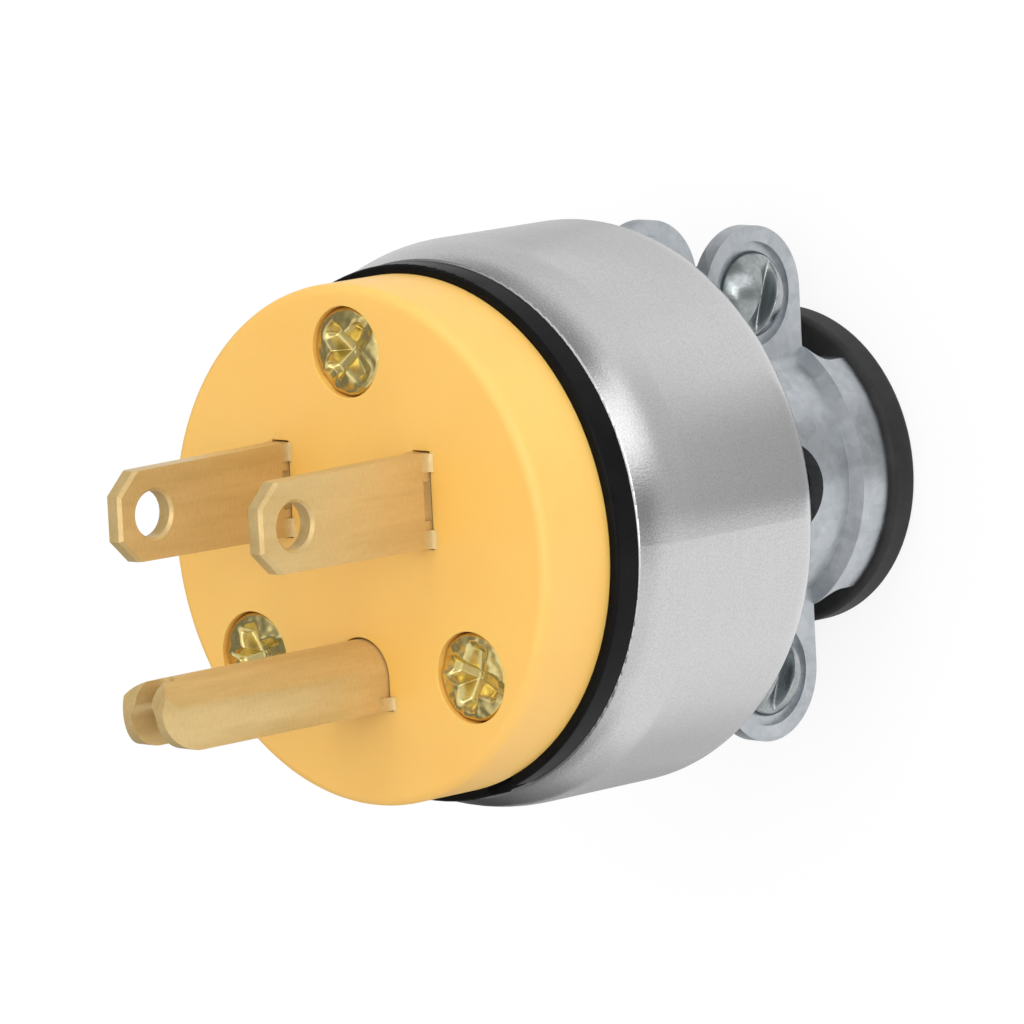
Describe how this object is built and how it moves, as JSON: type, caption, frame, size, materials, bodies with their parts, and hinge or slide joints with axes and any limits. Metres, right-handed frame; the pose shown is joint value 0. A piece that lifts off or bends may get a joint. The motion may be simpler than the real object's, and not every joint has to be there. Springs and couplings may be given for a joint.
{
  "type": "grounding plug",
  "caption": "Armoured straight-blade grounding plug: a moulded yellow face in a drawn steel shell, with a screw-down cord clamp and a rubber bushing at the rear.",
  "frame": {"origin": "centre of the rear face of the cord bushing, which the plug stands on", "axes": "+Z along the plug's axis towards the blades, +Y towards the upper face screw (away from the grounding pin), +X to the right when facing the blades with the grounding pin down"},
  "size_m": [0.0372, 0.0372, 0.0614],
  "materials": {
    "yellow_plastic": "satin moulded",
    "contact_brass": "satin, finely brushed",
    "face_screw_brass": "bright plated",
    "shell_steel": "satin plated",
    "clamp_zinc": "galvanised",
    "clamp_screw_zinc": "bright zinc",
    "liner_black": "gloss",
    "bushing_rubber": "matte",
    "line_screw_brass": "bright",
    "neutral_screw_nickel": "bright",
    "ground_screw_green": "gloss",
    "plate_steel": "satin plated",
    "post_steel": "satin plated"
  },
  "bodies": {
    "root": {"front_face": "yellow_plastic", "neutral_blade": "contact_brass", "line_blade": "contact_brass", "ground_pin": "contact_brass", "upper_face_screw": "face_screw_brass", "right_face_screw": "face_screw_brass", "left_face_screw": "face_screw_brass", "insulating_liner": "liner_black", "steel_shell": "shell_steel", "right_clamp_half": "clamp_zinc", "left_clamp_half": "clamp_zinc", "upper_clamp_screw": "clamp_screw_zinc", "lower_clamp_screw": "clamp_screw_zinc", "cord_bushing": "bushing_rubber", "line_terminal_screw": "line_screw_brass", "neutral_terminal_screw": "neutral_screw_nickel", "ground_terminal_screw": "ground_screw_green", "line_wire_plate": "plate_steel", "neutral_wire_plate": "plate_steel", "ground_wire_plate": "plate_steel", "upper_shell_post": "post_steel", "right_shell_post": "post_steel", "left_shell_post": "post_steel"}
  },
  "joints": []
}
